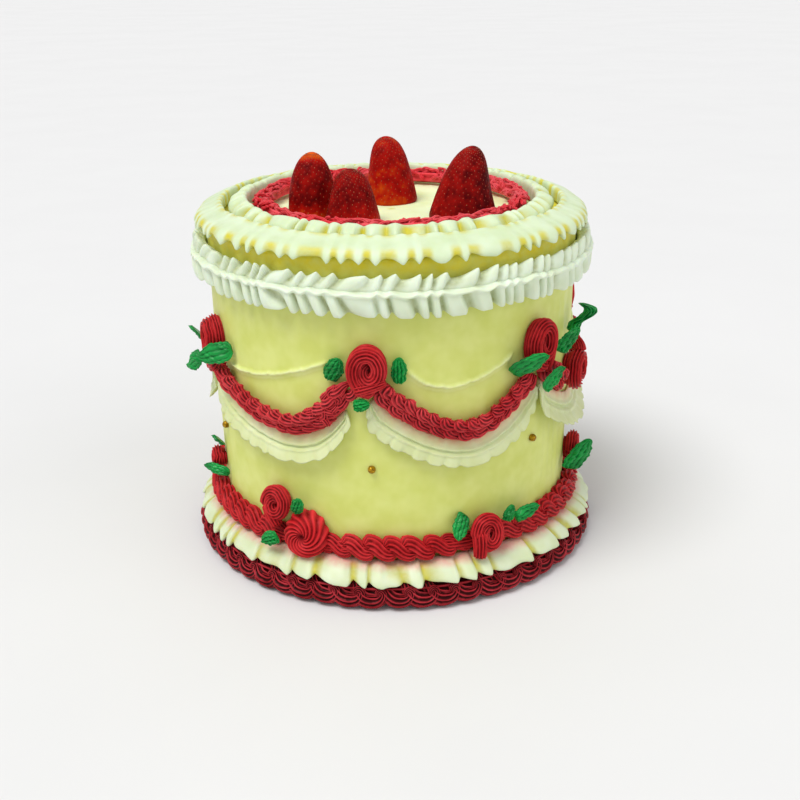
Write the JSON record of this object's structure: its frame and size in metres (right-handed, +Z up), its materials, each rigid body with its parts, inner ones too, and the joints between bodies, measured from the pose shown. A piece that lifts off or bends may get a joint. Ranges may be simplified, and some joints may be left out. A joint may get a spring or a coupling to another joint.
{
  "type": "lambeth cake",
  "caption": "Tall round iced celebration cake with piped ruffles, hanging garlands, roses, leaves, shell borders and strawberries on top.",
  "frame": {"origin": "centre of the cake at the level that it stands on", "axes": "+Z up through the middle of the cake, -Y towards the side shown in the picture, +X to the right of that view"},
  "size_m": [0.2345, 0.235, 0.2218],
  "materials": {
    "yellow_buttercream": "smoothed pale yellow buttercream, soft satin",
    "white_buttercream": "piped cream-white buttercream, soft satin",
    "red_buttercream": "piped deep red buttercream, soft satin",
    "green_buttercream": "piped leaf-green buttercream, soft satin",
    "strawberry_flesh": "moist strawberry skin with small pips"
  },
  "bodies": {
    "root": {"cake_body": "yellow_buttercream", "foot_red_ruffle": "red_buttercream", "foot_red_shells": "red_buttercream", "foot_rose_1": "red_buttercream", "foot_rose_2": "red_buttercream", "foot_rose_3": "red_buttercream", "foot_rose_4": "red_buttercream", "foot_rose_5": "red_buttercream", "foot_rose_6": "red_buttercream", "foot_rose_7": "red_buttercream", "foot_rose_8": "red_buttercream", "foot_white_ruffle": "white_buttercream", "inner_ruffle": "white_buttercream", "leaf_1": "green_buttercream", "leaf_10": "green_buttercream", "leaf_11": "green_buttercream", "leaf_12": "green_buttercream", "leaf_13": "green_buttercream", "leaf_14": "green_buttercream", "leaf_15": "green_buttercream", "leaf_16": "green_buttercream", "leaf_17": "green_buttercream", "leaf_18": "green_buttercream", "leaf_2": "green_buttercream", "leaf_3": "green_buttercream", "leaf_4": "green_buttercream", "leaf_5": "green_buttercream", "leaf_6": "green_buttercream", "leaf_7": "green_buttercream", "leaf_8": "green_buttercream", "leaf_9": "green_buttercream", "red_garland_1": "red_buttercream", "red_garland_2": "red_buttercream", "red_garland_3": "red_buttercream", "red_garland_4": "red_buttercream", "red_garland_5": "red_buttercream", "red_garland_6": "red_buttercream", "red_garland_7": "red_buttercream", "rim_ruffle": "white_buttercream", "rose_1": "red_buttercream", "rose_2": "red_buttercream", "rose_3": "red_buttercream", "rose_4": "red_buttercream", "rose_5": "red_buttercream", "rose_6": "red_buttercream", "rose_7": "red_buttercream", "side_ruffle": "white_buttercream", "strawberry_1": "strawberry_flesh", "strawberry_2": "strawberry_flesh", "strawberry_3": "strawberry_flesh", "strawberry_4": "strawberry_flesh", "top_red_shells": "red_buttercream", "white_frill_1": "white_buttercream", "white_frill_2": "white_buttercream", "white_frill_3": "white_buttercream", "white_frill_4": "white_buttercream", "white_frill_5": "white_buttercream", "white_frill_6": "white_buttercream"}
  },
  "joints": []
}
